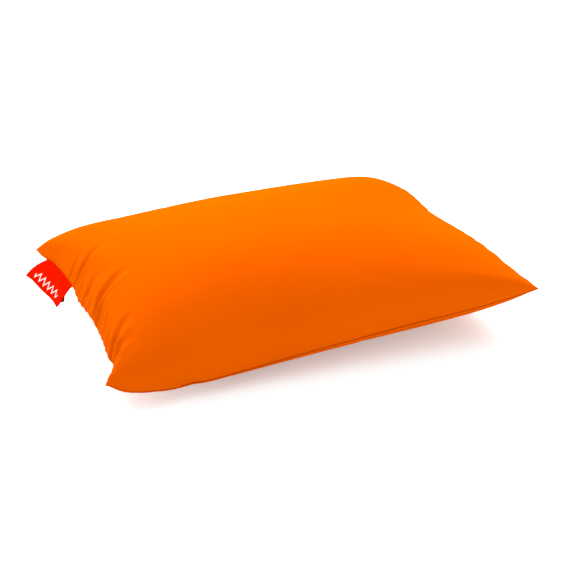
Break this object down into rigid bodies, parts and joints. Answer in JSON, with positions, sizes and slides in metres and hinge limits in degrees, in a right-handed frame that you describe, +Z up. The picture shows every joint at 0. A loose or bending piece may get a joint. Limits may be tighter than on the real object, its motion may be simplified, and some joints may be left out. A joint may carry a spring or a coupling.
{
  "type": "camp pillow",
  "caption": "Stuffed rectangular camp pillow with pointed corners, a removable cover that closes with a zip below one end seam, and a folded side label.",
  "frame": {"origin": "centre of the flat patch that the pillow rests on", "axes": "+Z up, +X along the length away from the side label and zip, -Y towards the front long side"},
  "size_m": [0.4747, 0.316, 0.1147],
  "materials": {
    "cover_fabric": "plain bright orange stretch fabric, slight sheen",
    "cover_thread": "orange polyester thread",
    "label_weave": "red damask-woven label, satin face",
    "care_fabric": "white satin tape",
    "zip_tape_fabric": "black herringbone tape",
    "zip_coil": "black nylon coil",
    "zip_metal": "black enamelled zinc",
    "zip_wire": "black enamelled steel wire",
    "zip_stop_metal": "pressed steel",
    "tag_rubber": "black soft moulding, satin",
    "case_fabric": "off-white non-woven",
    "case_thread": "white thread",
    "fill_fibre": "white fibre and foam crumb"
  },
  "bodies": {
    "pillow": {"cover_top_panel": "cover_fabric", "cover_bottom_panel": "cover_fabric", "cover_seam_stitches": "cover_thread", "flag_label_tail": "label_weave", "care_label": "care_fabric", "zip_tape_upper": "zip_tape_fabric", "zip_tape_lower": "zip_tape_fabric", "zip_teeth_upper": "zip_coil", "zip_teeth_lower": "zip_coil", "zip_bottom_stop": "zip_stop_metal", "zip_top_stops": "zip_stop_metal", "zip_stitches_upper": "cover_thread", "zip_stitches_lower": "cover_thread", "inner_case_top": "case_fabric", "inner_case_bottom": "case_fabric", "inner_case_seam_stitches": "case_thread", "filling": "fill_fibre"},
    "zip_slider": {"zip_slider_body": "zip_metal", "zip_slider_bail": "zip_wire"},
    "pull_tag": {"zip_pull_tag": "tag_rubber"},
    "label": {"flag_label": "label_weave"}
  },
  "joints": [
    {"name": "zip_slide", "type": "slide", "parent": "pillow", "child": "zip_slider", "axis": [0, 1, 0], "range_m": [-0.189, 0], "deforming": ["zip_teeth_upper", "zip_teeth_lower", "zip_tape_upper", "zip_tape_lower"]},
    {"name": "tag_swing", "type": "hinge", "parent": "zip_slider", "child": "pull_tag", "pos_m": [-0.21765, 0.099, 0.03144], "axis": [0, 1, 0], "range_deg": [-20, 60]},
    {"name": "label_lift", "type": "hinge", "parent": "pillow", "child": "label", "pos_m": [-0.2185, 0.08995, 0.046], "axis": [-0.07, 0.9975, 0], "range_deg": [0, 85]}
  ]
}
